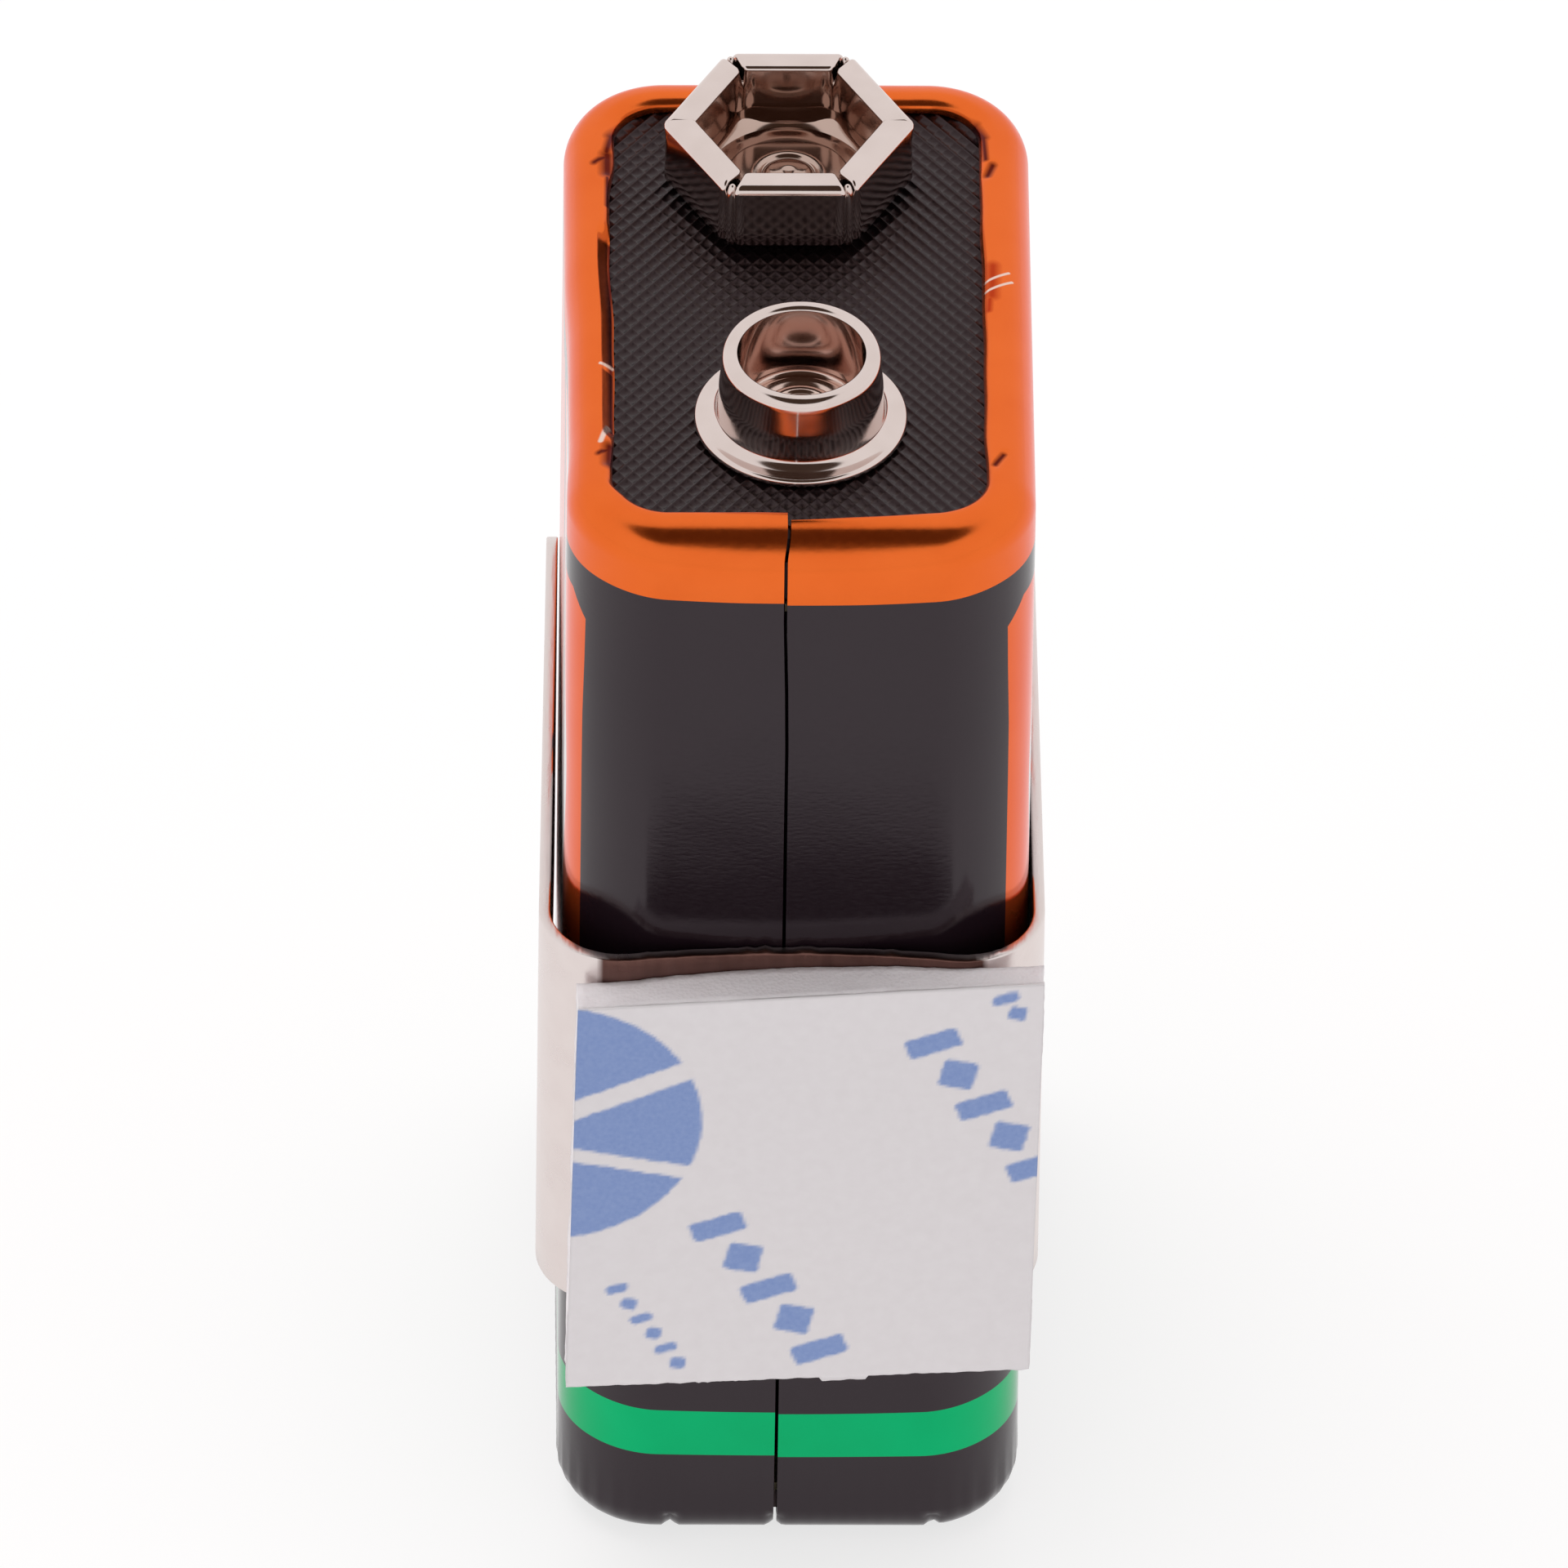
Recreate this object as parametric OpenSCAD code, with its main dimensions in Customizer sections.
// A 9 V block battery held in a U shaped spring clip with a double-sided tape pad.
// The origin is the middle of the battery's foot. +Z is up, and the pad faces -Y.

/* [Battery jacket] */
// Width of the battery, across the seam side
bat_w = 16.2; // [15.5:0.1:17.5]
// Depth of the battery, from the seam side to the back
bat_d = 25.4; // [24.5:0.1:26.5]
// Height of the rolled rim above the foot
rim_z = 46.2; // [45.8:0.1:47.5]
// Corner radius of the jacket, seen from above
corner_r = 3.5; // [3.2:0.1:4]
// Thickness of the jacket sheet
jacket_t = 0.25; // [0.2:0.01:0.3]
// Radius of the rim's outer roll
rim_roll_r = 1.4; // [1.2:0.05:1.5]
// Radius of the small curl that closes the rim onto the cover
rim_curl_r = 0.35; // [0.32:0.01:0.42]
// Radius of the foot crimp
foot_roll_r = 1.55; // [1.3:0.05:1.7]
// Width of the flat lip under the foot
foot_lip_w = 0.7; // [0.5:0.05:1]
// Width of the open seam line
seam_w = 0.12; // [0.08:0.01:0.2]
// Place of the seam, sideways from the middle
seam_x = -0.45; // [-1:0.05:1]

/* [Printed bands] */
// Lower edge of the orange band
orange_z = 43.3; // [41:0.1:44]
// Upper edge of the green band
green_top_z = 6.3; // [5.5:0.1:8]
// Height of the green band
green_h = 2.1; // [1:0.1:3]
// Height of the orange panel on each wide side
panel_h = 30; // [20:1:34]
// Length of the orange panel on each wide side
panel_len = 22.6; // [16:0.2:23]
// Gap between the panel and the orange band
panel_gap = 1.2; // [0.5:0.1:3]
// Size of the cut at each corner of the panel
panel_cut = 0.8; // [0.2:0.1:2]

/* [Cover and base] */
// Depth of the cover's top below the rim
cover_drop = 0.5; // [0.45:0.01:0.6]
// Thickness of the cover
cover_t = 1; // [0.8:0.05:1.2]
// Thickness of the cover's skirt
skirt_t = 0.8; // [0.6:0.05:1.2]
// Clearance between the cover and the jacket
cover_gap = 0.1; // [0.05:0.01:0.2]
// Thickness of the base plate above the foot's lip
base_t = 0.8; // [0.6:0.05:1]
// Clearance between the base plate and the crimp
base_gap = 0.08; // [0.05:0.01:0.2]

/* [Terminals] */
// Distance between the two terminals
term_pitch = 12.7; // [12.2:0.1:12.95]
// How far the pair of terminals sits behind the middle
term_back = 0.7; // [0:0.1:0.8]
// Sideways offset of the negative crown
crown_x = -0.3; // [-0.4:0.05:0.4]
// Diameter of the positive stud
stud_d = 5.72; // [5.6:0.02:5.8]
// Height of the positive stud
stud_h = 2.8; // [2.6:0.05:2.9]
// Wall of the stud with its rolled rim
stud_wall = 0.62; // [0.5:0.02:0.7]
// Diameter of the stud's flange
flange_d = 7.4; // [7:0.1:7.6]
// Thickness of the stud's flange and floor
flange_t = 0.32; // [0.28:0.01:0.4]
// Width of the groove in the flange, round the stud's wall
flange_groove_w = 0.26; // [0.1:0.02:0.4]
// Depth of that groove
flange_groove_d = 0.1; // [0.05:0.01:0.14]
// Width across the flats of the negative crown
crown_af = 7.5; // [7.2:0.05:7.8]
// Height of the negative crown
crown_h = 2.75; // [2.6:0.05:2.9]
// Sheet thickness of the crown
crown_t = 0.24; // [0.2:0.01:0.26]
// Width of each folded petal's top
petal_top_w = 0.95; // [0.8:0.05:1.1]
// Outer radius of the petal folds
petal_fold_r = 0.3; // [0.28:0.01:0.36]
// Height of the flat inner leaf of each petal
petal_leaf_h = 1.65; // [1.1:0.05:1.65]
// Gap between the cover and the free lower ends of the petals
petal_skirt_gap = 0.35; // [0.2:0.05:0.5]
// Inner radius of the round cup inside the petals
crown_cup_r = 2.95; // [2.85:0.01:3]
// Height over which the round cup and the flat leaves run into each other
crown_cup_lap = 0.6; // [0.3:0.05:0.9]
// Radius of the cup's rounded bottom
crown_bowl_r = 0.85; // [0.6:0.05:0.95]
// Width of the slot between two petals
petal_slot = 0.46; // [0.3:0.02:0.6]
// Radius of the rivet shank
rivet_r = 0.8; // [0.6:0.05:0.85]
// Radius of the rivet head inside each terminal
rivet_head_r = 1.35; // [1.2:0.05:1.6]
// Thickness of the rivet head
rivet_head_t = 0.18; // [0.14:0.01:0.22]
// Radius of the domed middle of the rivet head
rivet_dome_r = 0.88; // [0.7:0.02:1]
// Height of that dome above the head
rivet_dome_h = 0.18; // [0.1:0.01:0.25]
// Width of the ring groove round the dome
rivet_groove_w = 0.14; // [0.08:0.01:0.2]
// Thickness of the clenched end under each lead
rivet_tail_t = 0.35; // [0.25:0.05:0.5]

/* [Cell pack] */
// Gap between the jacket's wide walls and the cells beside them
cell_side_gap = 0.15; // [0.1:0.01:0.4]
// Gap between the jacket's narrow walls and the cells at the ends
cell_end_gap = 0.65; // [0.5:0.05:0.9]
// Least gap between two cells
cell_gap = 0.2; // [0.1:0.01:0.3]
// Length of a cell with its nub
cell_len = 41; // [40.6:0.1:41.2]
// Radius of a cell's rounded ends
cell_edge_r = 0.6; // [0.3:0.05:0.8]
// Radius of a cell's nub
nub_r = 1.5; // [1.2:0.05:1.8]
// Height of a cell's nub
nub_h = 0.8; // [0.5:0.05:1]
// Distance of a cell's bead from its flat end
bead_z = 2.6; // [1.6:0.1:4]
// Radius of the bead
bead_r = 0.35; // [0.2:0.05:0.5]
// Distance of the seal groove in a cell's flat end from the can's side
seal_inset = 0.9; // [0.8:0.05:1.4]
// Width of the seal groove
seal_w = 0.3; // [0.2:0.05:0.5]
// Depth of the seal groove
seal_d = 0.2; // [0.1:0.05:0.4]
// Thickness of the welded strips
strip_t = 0.15; // [0.1:0.01:0.18]
// Width of the welded strips
strip_w = 3; // [2.4:0.1:3.4]
// Distance of each lead's riser from the middle of its cell
riser_x = 1.6; // [1.2:0.05:1.8]
// How far each lead's welded foot reaches behind the middle of its cell
lead_tail = 1.5; // [1:0.1:2]
// Clearance round each riser in the upper card
riser_gap = 0.2; // [0.1:0.05:0.4]
// Thickness of the insulating cards
card_t = 0.35; // [0.25:0.01:0.4]

/* [Spring clip] */
// Height of the clip strip
clip_h = 15.9; // [12:0.1:18]
// Height of the clip's lower edge above the foot
clip_z = 12.1; // [9:0.1:16]
// Thickness of the spring steel
clip_t = 0.4; // [0.3:0.02:0.6]
// Inner radius of the clip's bends
clip_bend_r = 2.4; // [2:0.1:3]
// Radius of the inward bow in the clip's short wall
clip_bow_r = 44; // [30:1:80]
// Gap between the jacket and the bowed middle of the short wall
clip_front_gap = 0.3; // [0.2:0.05:1]
// Gap beside the left arm, at its bend
clip_gap_left = 0.45; // [0.1:0.05:0.8]
// Gap beside the right arm, at its bend
clip_gap_right = 0.15; // [0.1:0.05:0.8]
// Gap between the jacket and the tips of the arms
grip_gap = 0.05; // [0.02:0.01:0.1]
// How far the arms reach behind the battery's middle
arm_reach = 10; // [4:0.5:11]
// Corner radius at the tips of the arms
arm_tip_r = 1.6; // [0.8:0.1:3]

/* [Tape pad] */
// Width of the pad
pad_w = 16.2; // [12:0.1:17]
// Height of the pad on its middle line
pad_h = 17.6; // [12:0.1:20]
// Height of the pad's middle above the foot
pad_mid_z = 18.6; // [16:0.1:22]
// Sideways offset of the pad
pad_x = 0.35; // [-1:0.05:1]
// Thickness of the pad with its liner, beside the bow of the clip
pad_t = 1.25; // [0.8:0.05:1.6]
// Gap between the pad and the clip
pad_seat_gap = 0.02; // [0.01:0.01:0.05]
// Turn of the pad's free side about the upright axis
pad_turn = 1.6; // [0:0.1:2]
// Slope of the pad's upper cut
pad_top_slope = 3; // [0:0.1:5]
// Slope of the pad's lower cut
pad_bottom_slope = 1.7; // [0:0.1:5]
// Lean of the pad's side cuts
pad_lean = 0.9; // [0:0.1:3]
// Thickness of the release liner
liner_t = 0.12; // [0.08:0.01:0.2]
// Width of the slanted bars printed on the liner
print_bar_w = 0.9; // [0.4:0.1:2]
// Distance between those bars
print_pitch = 2.7; // [1.5:0.1:6]
// Slant of the bars
print_slant = 35; // [0:5:60]

/* [Hidden] */
$fn = 96;
// How far a cut passes through a thin face, and through a whole side
eps = 0.01;
over = 1;

// Colours as the object shows them
orange = "#d9672b";
charcoal = "#3b3337";
green = "#0fae72";
plating = "#c9c0bc";
black = "#262224";
can_steel = "#b5b3b0";
card_tan = "#b9a888";
foam = "#d8d2d6";
paper = "#e2dde2";
print_blue = "#7089be";

// Plan of the jacket
half_w = bat_w / 2;
half_d = bat_d / 2;
corner_cx = half_w - corner_r;
corner_cy = half_d - corner_r;

// Cell pack: two columns and three rows fill the room inside the jacket's walls
cell_room_x = bat_w - 2 * (jacket_t + cell_side_gap);
cell_room_y = bat_d - 2 * (jacket_t + cell_end_gap);
cell_d = min((cell_room_x - cell_gap) / 2, (cell_room_y - 2 * cell_gap) / 3);
cell_pitch_x = cell_room_x - cell_d;
cell_pitch_y = (cell_room_y - cell_d) / 2;
seal_r = cell_d / 2 - seal_inset;

// Levels, from the foot upwards
base_z = jacket_t;
card_low_z = base_z + base_t;
link_low_z = card_low_z + card_t;
cell_z = link_low_z + strip_t;
cell_top_z = cell_z + cell_len;
card_top_z = cell_top_z + strip_t;
skirt_z = card_top_z + card_t;
rim_low_z = rim_z - rim_roll_r;
cover_top_z = rim_z - cover_drop;
cover_under_z = cover_top_z - cover_t;
eyelet_z = cover_under_z - strip_t;
panel_top_z = orange_z - panel_gap;

// Terminal places
stud_pos = [0, term_back - term_pitch / 2];
crown_pos = [crown_x, term_back + term_pitch / 2];

// Plan of whatever follows the jacket with its edge d inside the outer face
module jacket_plan(d) {
    square([bat_w - 2 * d, 2 * corner_cy], center = true);
    square([2 * corner_cx, bat_d - 2 * d], center = true);
    for (sx = [-1, 1], sy = [-1, 1])
        translate([sx * corner_cx, sy * corner_cy]) circle(r = corner_r - d);
}

// Sweeps a section round the jacket. The section's x is zero at the outer face.
module round_jacket() {
    for (turn = [0, 180]) rotate([0, 0, turn]) {
        translate([corner_cx, corner_cy, 0])
            rotate_extrude(angle = 90) translate([corner_r, 0]) children();
        rotate([0, 0, 90]) translate([corner_cy, corner_cx, 0])
            rotate_extrude(angle = 90) translate([corner_r, 0]) children();
        translate([half_w, corner_cy, 0]) rotate([90, 0, 0])
            linear_extrude(height = 2 * corner_cy) children();
        rotate([0, 0, 90]) translate([half_d, corner_cx, 0]) rotate([90, 0, 0])
            linear_extrude(height = 2 * corner_cx) children();
    }
}

// Quarter of a ring about the origin, in the quadrant given by the signs sx and sy
module quarter_ring(r, t, sx, sy) {
    intersection() {
        difference() {
            circle(r = r);
            circle(r = r - t);
        }
        translate([sx > 0 ? 0 : -r, sy > 0 ? 0 : -r]) square(r);
    }
}

// Section of the rolled rim: the outer roll and the curl that closes onto the cover
module rim_section() {
    translate([-rim_roll_r, rim_z - rim_roll_r]) quarter_ring(rim_roll_r, jacket_t, 1, 1);
    translate([-rim_roll_r, rim_z - rim_curl_r]) quarter_ring(rim_curl_r, jacket_t, -1, 1);
    translate([-rim_roll_r - rim_curl_r, cover_top_z])
        square([jacket_t, rim_z - rim_curl_r - cover_top_z]);
}

// Section of the foot: the crimp and the flat lip that the battery stands on
module foot_section() {
    translate([-foot_roll_r, foot_roll_r]) quarter_ring(foot_roll_r, jacket_t, 1, -1);
    translate([-foot_roll_r - foot_lip_w, 0]) square([foot_lip_w, jacket_t]);
}

// The upright wall of the sleeve between two levels
module sleeve(low, high) {
    translate([0, 0, low]) linear_extrude(height = high - low) difference() {
        jacket_plan(0);
        jacket_plan(jacket_t);
    }
}

// The open line where the sheet's two edges meet on the narrow side
module seam(low, high) {
    translate([seam_x - seam_w / 2, -half_d - eps, low - eps])
        cube([seam_w, corner_r, high - low + 2 * eps]);
}

// The orange panel's outline on the wide sides, as a bar through the battery
module panel_bar() {
    y1 = panel_len / 2;
    z1 = panel_top_z;
    z0 = panel_top_z - panel_h;
    c = panel_cut;
    rotate([90, 0, 90]) linear_extrude(height = bat_w + 2 * over, center = true) polygon([
        [-y1, z0 + c], [-y1 + c, z0], [y1 - c, z0], [y1, z0 + c],
        [y1, z1 - c], [y1 - c, z1], [-y1 + c, z1], [-y1, z1 - c]
    ]);
}

module jacket() {
    green_low = green_top_z - green_h;
    color(orange) difference() {
        union() {
            sleeve(orange_z, rim_low_z);
            round_jacket() rim_section();
        }
        seam(orange_z, rim_z);
    }
    color(charcoal) difference() {
        sleeve(green_top_z, orange_z);
        seam(green_top_z, orange_z);
        panel_bar();
    }
    color(orange) intersection() {
        sleeve(green_top_z, orange_z);
        panel_bar();
    }
    color(green) difference() {
        sleeve(green_low, green_top_z);
        seam(green_low, green_top_z);
    }
    color(charcoal) difference() {
        union() {
            sleeve(foot_roll_r, green_low);
            round_jacket() foot_section();
        }
        seam(0, green_low);
    }
}

// Inset of the cover inside the sleeve, and inside the roll at the level of the cover's top
skirt_inset = jacket_t + cover_gap;
roll_in_r = rim_roll_r - jacket_t;
cover_inset = cover_gap + rim_roll_r - sqrt(pow(roll_in_r, 2) - pow(rim_roll_r - cover_drop, 2));

// Moulded cover: a skirt that fits the sleeve, and a smaller top that fits inside the roll
module top_plate() {
    color(black) difference() {
        union() {
            translate([0, 0, skirt_z])
                linear_extrude(height = rim_low_z - skirt_z) jacket_plan(skirt_inset);
            translate([0, 0, skirt_z])
                linear_extrude(height = cover_top_z - skirt_z) jacket_plan(cover_inset);
        }
        translate([0, 0, skirt_z - eps])
            linear_extrude(height = cover_under_z - skirt_z + eps) jacket_plan(skirt_inset + skirt_t);
        for (p = [stud_pos, crown_pos])
            translate([p.x, p.y, cover_under_z - eps]) cylinder(r = rivet_r, h = cover_t + 2 * eps);
    }
}

// Moulded base: a flange on the foot's lip, and a step that fills the lip's opening flush
module base_plate() {
    color(black) {
        translate([0, 0, base_z])
            linear_extrude(height = base_t) jacket_plan(foot_roll_r + base_gap);
        linear_extrude(height = base_z + base_t) jacket_plan(foot_roll_r + foot_lip_w + base_gap);
    }
}

// Drawn snap stud: stepped flange, upright wall and full-round rim
module positive_stud() {
    stud_r = stud_d / 2;
    rim_r = stud_wall / 2;
    edge_r = flange_t / 2;
    color(plating) translate([stud_pos.x, stud_pos.y, cover_top_z]) rotate_extrude() {
        difference() {
            union() {
                translate([rivet_r, 0]) square([flange_d / 2 - edge_r - rivet_r, flange_t]);
                translate([flange_d / 2 - edge_r, edge_r]) circle(r = edge_r);
            }
            translate([stud_r, flange_t - flange_groove_d]) square([flange_groove_w, flange_t]);
        }
        translate([stud_r - stud_wall, flange_t / 2])
            square([stud_wall, stud_h - rim_r - flange_t / 2]);
        translate([stud_r - rim_r, stud_h - rim_r]) circle(r = rim_r);
    }
}

// Section of one petal: inner leaf, fold over the top and free outer skirt
module petal_section() {
    outer = crown_af / 2;
    inner = outer - petal_top_w;
    fold_z = crown_h - petal_fold_r;
    translate([inner, crown_h - petal_leaf_h])
        square([crown_t, petal_leaf_h - petal_fold_r]);
    translate([inner + petal_fold_r, fold_z]) quarter_ring(petal_fold_r, crown_t, -1, 1);
    translate([inner + petal_fold_r, crown_h - crown_t])
        square([petal_top_w - 2 * petal_fold_r, crown_t]);
    translate([outer - petal_fold_r, fold_z]) quarter_ring(petal_fold_r, crown_t, 1, 1);
    translate([outer - crown_t, petal_skirt_gap])
        square([crown_t, fold_z - petal_skirt_gap]);
}

// Wedge that mitres a petal against its neighbours and leaves the slots open
module petal_wedge() {
    apex = petal_slot / 2 / sin(30);
    reach = crown_af;
    half = (reach - apex) * tan(30);
    linear_extrude(height = crown_h + over) polygon([[apex, 0], [reach, -half], [reach, half]]);
}

// Folded snap socket: a drawn round cup whose rim is cut into six petals and folded down
module negative_crown() {
    cup_out_r = crown_cup_r + crown_t;
    bowl_out_r = crown_bowl_r + crown_t;
    cup_top = crown_h - petal_leaf_h + crown_cup_lap;
    color(plating) translate([crown_pos.x, crown_pos.y, cover_top_z]) {
        rotate_extrude() {
            translate([rivet_r, 0]) square([cup_out_r - bowl_out_r - rivet_r, crown_t]);
            translate([cup_out_r - bowl_out_r, bowl_out_r])
                quarter_ring(bowl_out_r, crown_t, 1, -1);
            translate([crown_cup_r, bowl_out_r]) square([crown_t, cup_top - bowl_out_r]);
        }
        for (i = [0:5]) rotate([0, 0, 60 * i + 30]) intersection() {
            rotate([90, 0, 0]) linear_extrude(height = crown_af, center = true) petal_section();
            petal_wedge();
        }
    }
}

// Rivet from a terminal's floor, through the cover, to its clenched end under the lead
module rivet(pos, floor_t) {
    head_z = floor_t + rivet_head_t;
    ball_r = (pow(rivet_dome_r, 2) + pow(rivet_dome_h, 2)) / (2 * rivet_dome_h);
    shank_low = eyelet_z - cover_top_z;
    color(plating) translate([pos.x, pos.y, cover_top_z]) rotate_extrude() {
        difference() {
            translate([0, floor_t]) square([rivet_head_r, rivet_head_t]);
            translate([rivet_dome_r, head_z - rivet_head_t / 2]) square([rivet_groove_w, rivet_head_t]);
        }
        intersection() {
            translate([0, head_z + rivet_dome_h - ball_r]) circle(r = ball_r);
            translate([0, floor_t]) square([rivet_dome_r, rivet_head_t + rivet_dome_h]);
        }
        translate([0, shank_low]) square([rivet_r, floor_t - shank_low]);
        translate([0, shank_low - rivet_tail_t]) square([rivet_head_r, rivet_tail_t]);
    }
}

module positive_rivet() {
    rivet(stud_pos, flange_t);
}

module negative_rivet() {
    rivet(crown_pos, crown_t);
}

// Plan place of a cell, by its column (-1 or 1) and its row (-1, 0 or 1)
function cell_pos(col, row) = [col * cell_pitch_x / 2, row * cell_pitch_y];

// Drawn can with a crimped cap at one end and a nub at the other. nub_up turns the nub upwards.
module cell(col, row, nub_up) {
    r = cell_d / 2;
    body_h = cell_len - nub_h;
    p = cell_pos(col, row);
    color(can_steel) translate([p.x, p.y, nub_up ? cell_z : cell_top_z])
        rotate([nub_up ? 0 : 180, 0, 0]) rotate_extrude() difference() {
            union() {
                translate([0, cell_edge_r]) square([r, body_h - 2 * cell_edge_r]);
                square([r - cell_edge_r, body_h]);
                translate([r - cell_edge_r, cell_edge_r]) circle(r = cell_edge_r);
                translate([r - cell_edge_r, body_h - cell_edge_r]) circle(r = cell_edge_r);
                square([nub_r, cell_len]);
            }
            translate([r, bead_z]) circle(r = bead_r);
            translate([seal_r - seal_w, -eps]) square([seal_w, seal_d + eps]);
        }
}

module cell_1() {
    cell(-1, -1, true);
}

module cell_2() {
    cell(1, -1, false);
}

module cell_3() {
    cell(1, 0, true);
}

module cell_4() {
    cell(-1, 0, false);
}

module cell_5() {
    cell(-1, 1, true);
}

module cell_6() {
    cell(1, 1, false);
}

// Welded strip with round ends between two cells, at level z
module link(a, b, z) {
    mid = (a + b) / 2;
    run = norm(b - a);
    turn = atan2(b.y - a.y, b.x - a.x);
    color(plating) translate([mid.x, mid.y, z]) rotate([0, 0, turn]) linear_extrude(height = strip_t) {
        square([run, strip_w], center = true);
        for (s = [-1, 1]) translate([s * run / 2, 0]) circle(d = strip_w);
    }
}

module bottom_link_1() {
    link(cell_pos(-1, -1), cell_pos(1, -1), link_low_z);
}

module bottom_link_2() {
    link(cell_pos(-1, 0), cell_pos(1, 0), link_low_z);
}

module bottom_link_3() {
    link(cell_pos(-1, 1), cell_pos(1, 1), link_low_z);
}

module top_link_1() {
    link(cell_pos(1, -1), cell_pos(1, 0), cell_top_z);
}

module top_link_2() {
    link(cell_pos(-1, 0), cell_pos(-1, 1), cell_top_z);
}

// A lead's own frame: its x runs from the cell's middle towards the rivet
module on_lead(cell_at, rivet_at) {
    turn = atan2(rivet_at.y - cell_at.y, rivet_at.x - cell_at.x);
    translate([cell_at.x, cell_at.y, 0]) rotate([0, 0, turn]) children();
}

// Stepped strip: a foot welded on a cell, a riser and an eyelet under the cover
module lead(cell_at, rivet_at) {
    run = norm(rivet_at - cell_at);
    color(plating) difference() {
        on_lead(cell_at, rivet_at) {
            translate([-lead_tail, -strip_w / 2, cell_top_z])
                cube([lead_tail + riser_x, strip_w, strip_t]);
            translate([riser_x - strip_t, -strip_w / 2, cell_top_z])
                cube([strip_t, strip_w, cover_under_z - cell_top_z]);
            translate([riser_x - strip_t, -strip_w / 2, eyelet_z])
                cube([run - riser_x + strip_t, strip_w, strip_t]);
            translate([run, 0, eyelet_z]) cylinder(d = strip_w, h = strip_t);
        }
        translate([rivet_at.x, rivet_at.y, eyelet_z - eps]) cylinder(r = rivet_r, h = strip_t + 2 * eps);
    }
}

module positive_lead() {
    lead(cell_pos(-1, -1), stud_pos);
}

module negative_lead() {
    lead(cell_pos(1, 1), crown_pos);
}

module top_insulator() {
    color(card_tan) difference() {
        translate([0, 0, card_top_z])
            linear_extrude(height = card_t) jacket_plan(skirt_inset);
        for (pair = [[cell_pos(-1, -1), stud_pos], [cell_pos(1, 1), crown_pos]])
            on_lead(pair[0], pair[1])
                translate([riser_x - strip_t - riser_gap, -strip_w / 2 - riser_gap, card_top_z - eps])
                    cube([strip_t + 2 * riser_gap, strip_w + 2 * riser_gap, card_t + 2 * eps]);
    }
}

module bottom_insulator() {
    color(card_tan) translate([0, 0, card_low_z])
        linear_extrude(height = card_t) jacket_plan(foot_roll_r + base_gap);
}

// Points along an arc about c, from angle a0 to a1
function arc(c, r, a0, a1, n) = [
    for (i = [0:n]) let (a = a0 + (a1 - a0) * i / n) [c.x + r * cos(a), c.y + r * sin(a)]
];

// Clip plan: the arms' inner faces at their bends
arm_in_left = -half_w - clip_gap_left;
arm_in_right = half_w + clip_gap_right;
bend_left_x = arm_in_left + clip_bend_r;
bend_right_x = arm_in_right - clip_bend_r;
clip_mid_x = (bend_left_x + bend_right_x) / 2;
bend_half = (bend_right_x - bend_left_x) / 2;
// The short wall's arc touches both bends, with its middle at the stated gap
bow_reach = clip_bow_r + clip_bend_r;
bow_a = asin(bend_half / bow_reach);
bow_cy = -half_d - clip_front_gap - clip_bow_r;
bend_y = bow_cy + bow_reach * cos(bow_a);
// Each arm leans in until its tip grips the jacket
arm_len = arm_reach - bend_y;
lean_left = atan((clip_gap_left - grip_gap) / arm_len);
lean_right = atan((clip_gap_right - grip_gap) / arm_len);

// Outline of the strip's inner face (d = 0) or outer face (d = clip_t), from the right tip round
function clip_face(d) = concat(
    [[arm_in_right + d - (clip_gap_right - grip_gap), arm_reach]],
    arc([bend_right_x, bend_y], clip_bend_r + d, -lean_right, -90 - bow_a, 14),
    arc([clip_mid_x, bow_cy], clip_bow_r - d, 90 - bow_a, 90 + bow_a, 16),
    arc([bend_left_x, bend_y], clip_bend_r + d, -90 + bow_a, -180 + lean_left, 14),
    [[arm_in_left - d + (clip_gap_left - grip_gap), arm_reach]]
);

// Side view of the strip with its rounded tips
module clip_side() {
    front_y = bend_y - clip_bend_r - clip_t - over;
    translate([front_y, 0]) square([arm_reach - arm_tip_r - front_y, clip_h]);
    translate([front_y, arm_tip_r]) square([arm_reach - front_y, clip_h - 2 * arm_tip_r]);
    for (z = [arm_tip_r, clip_h - arm_tip_r])
        translate([arm_reach - arm_tip_r, z]) circle(r = arm_tip_r);
}

module spring_clip() {
    face_in = clip_face(0);
    face_out = clip_face(clip_t);
    last = len(face_out) - 1;
    back_out = [for (i = [0:last]) face_out[last - i]];
    color(plating) translate([0, 0, clip_z]) intersection() {
        linear_extrude(height = clip_h) polygon(concat(face_in, back_out));
        rotate([90, 0, 90]) linear_extrude(height = 2 * bat_w, center = true) clip_side();
    }
}

// Pad: its back fills the bow between the clip's bends, and its free side is a flat turned plane
pad_back_y = bend_y - clip_bend_r - clip_t;
pad_face_y = pad_back_y - pad_t;

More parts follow.
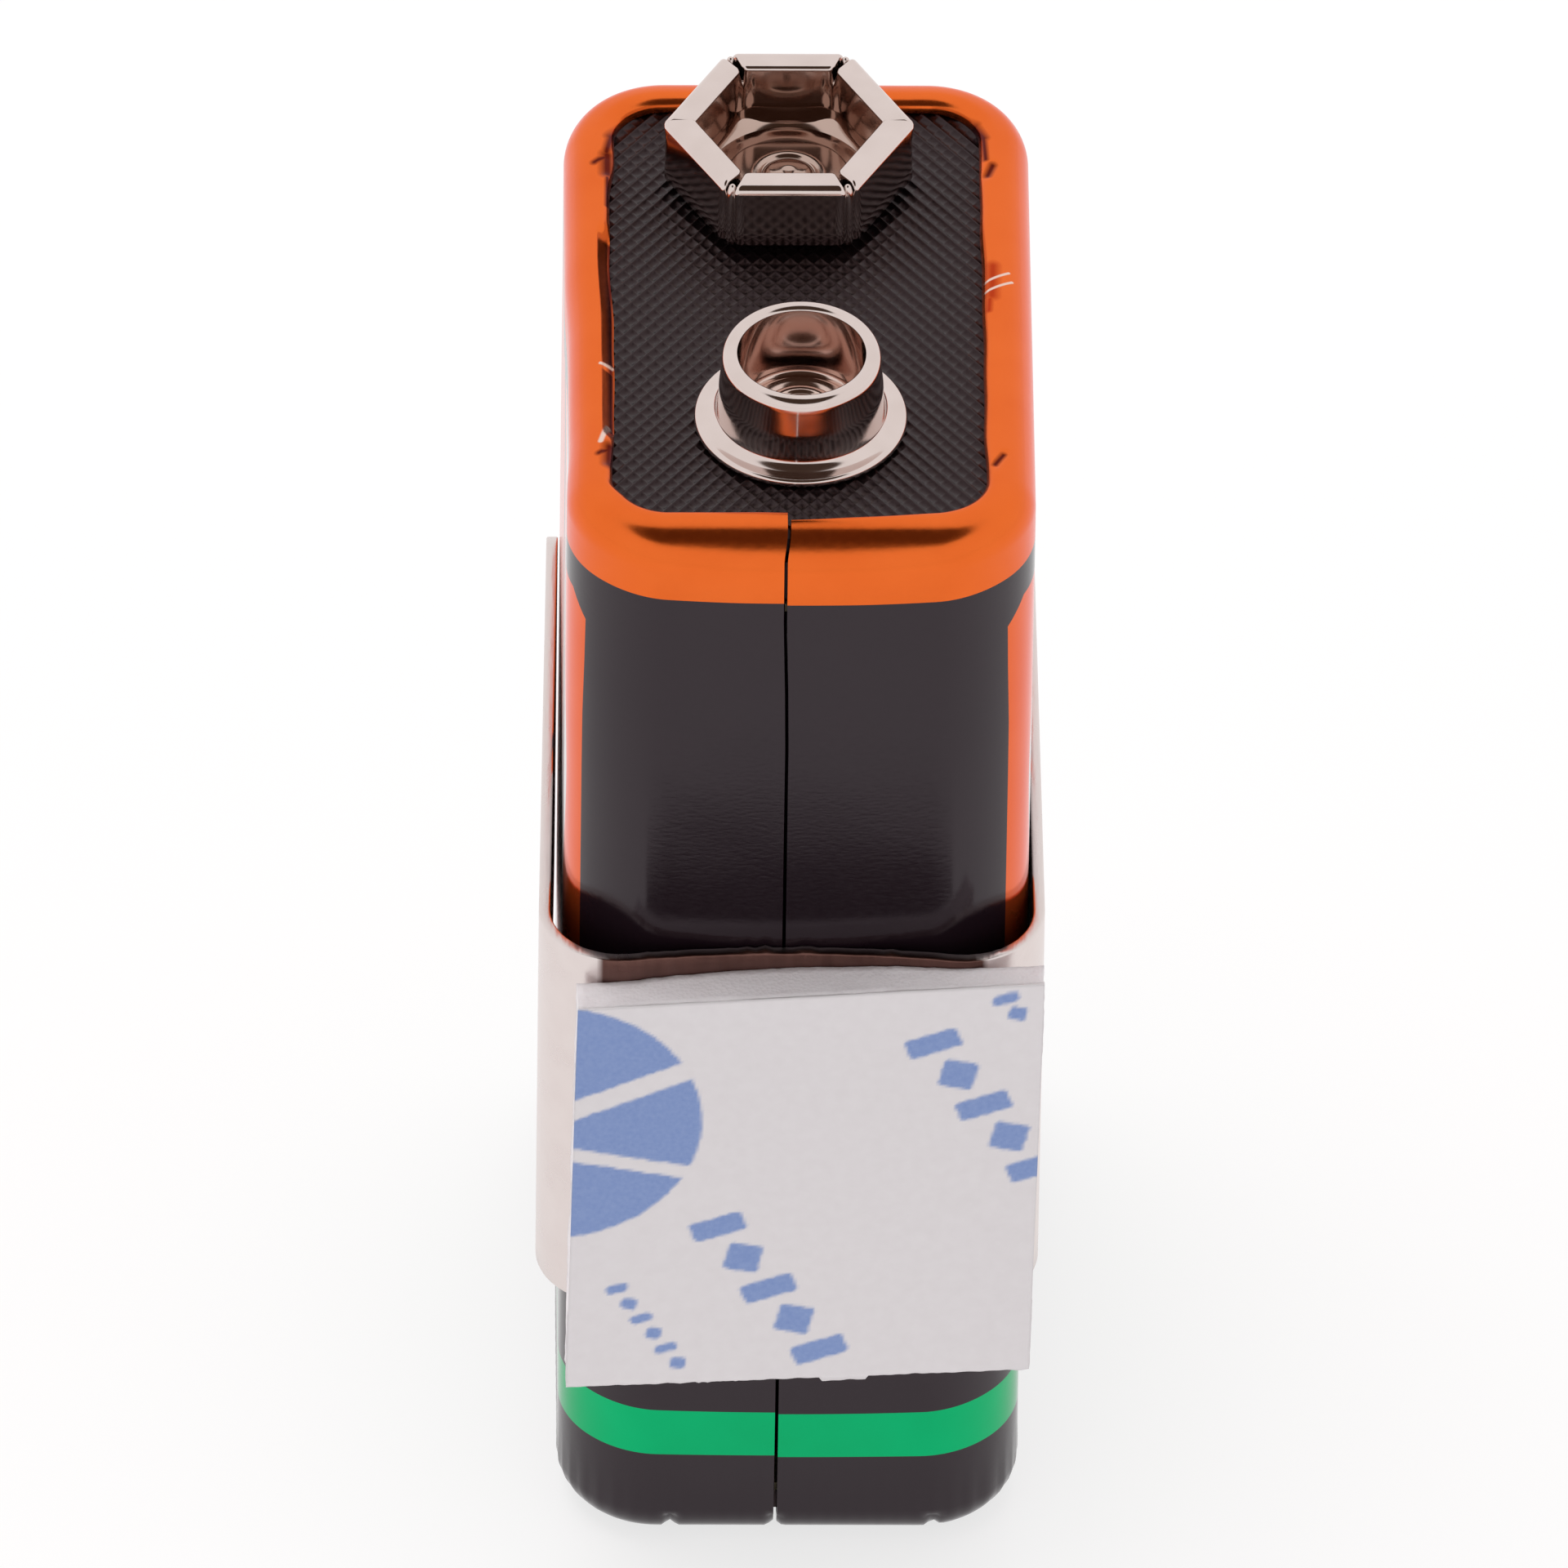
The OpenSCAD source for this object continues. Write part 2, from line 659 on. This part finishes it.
// Outline of the pad in front view, with its hand-cut slopes
function pad_corner(side, up) = let (
    slope = up > 0 ? pad_top_slope : pad_bottom_slope,
    x = side * pad_w / 2
) [x + up * pad_h / 2 * tan(pad_lean), up * pad_h / 2 + x * tan(slope)];

module pad_outline() {
    polygon([pad_corner(-1, -1), pad_corner(1, -1), pad_corner(1, 1), pad_corner(-1, 1)]);
}

// The pad's own frame: its x-z plane is the pad's free face under the liner
module on_pad() {
    translate([pad_x, pad_face_y, pad_mid_z]) rotate([0, 0, pad_turn]) children();
}

module tape_pad() {
    deep = pad_t * 3;
    color(foam) intersection() {
        on_pad() translate([0, liner_t, 0]) rotate([90, 0, 0]) mirror([0, 0, 1])
            linear_extrude(height = deep) pad_outline();
        linear_extrude(height = rim_z) {
            translate([-bat_w, pad_back_y - deep]) square([2 * bat_w, deep - pad_seat_gap]);
            intersection() {
                translate([clip_mid_x, bow_cy])
                    circle(r = clip_bow_r - clip_t - pad_seat_gap, $fn = 360);
                translate([clip_mid_x - bend_half, pad_back_y - deep])
                    square([2 * bend_half, 2 * deep]);
            }
        }
    }
}

// Slanted printed bars that cross the liner, as a flat pattern over its outline
module liner_bars() {
    last = ceil((pad_w + pad_h) / print_pitch);
    for (i = [-last:last])
        rotate([0, 0, print_slant]) translate([-pad_w - pad_h, i * print_pitch - print_bar_w / 2])
            square([2 * (pad_w + pad_h), print_bar_w]);
}

module release_liner() {
    on_pad() rotate([90, 0, 0]) mirror([0, 0, 1]) {
        color(paper) linear_extrude(height = liner_t) difference() {
            pad_outline();
            liner_bars();
        }
        color(print_blue) linear_extrude(height = liner_t) intersection() {
            pad_outline();
            liner_bars();
        }
    }
}

jacket();
top_plate();
base_plate();
positive_stud();
positive_rivet();
negative_crown();
negative_rivet();
cell_1();
cell_2();
cell_3();
cell_4();
cell_5();
cell_6();
bottom_link_1();
bottom_link_2();
bottom_link_3();
top_link_1();
top_link_2();
positive_lead();
negative_lead();
top_insulator();
bottom_insulator();
spring_clip();
tape_pad();
release_liner();
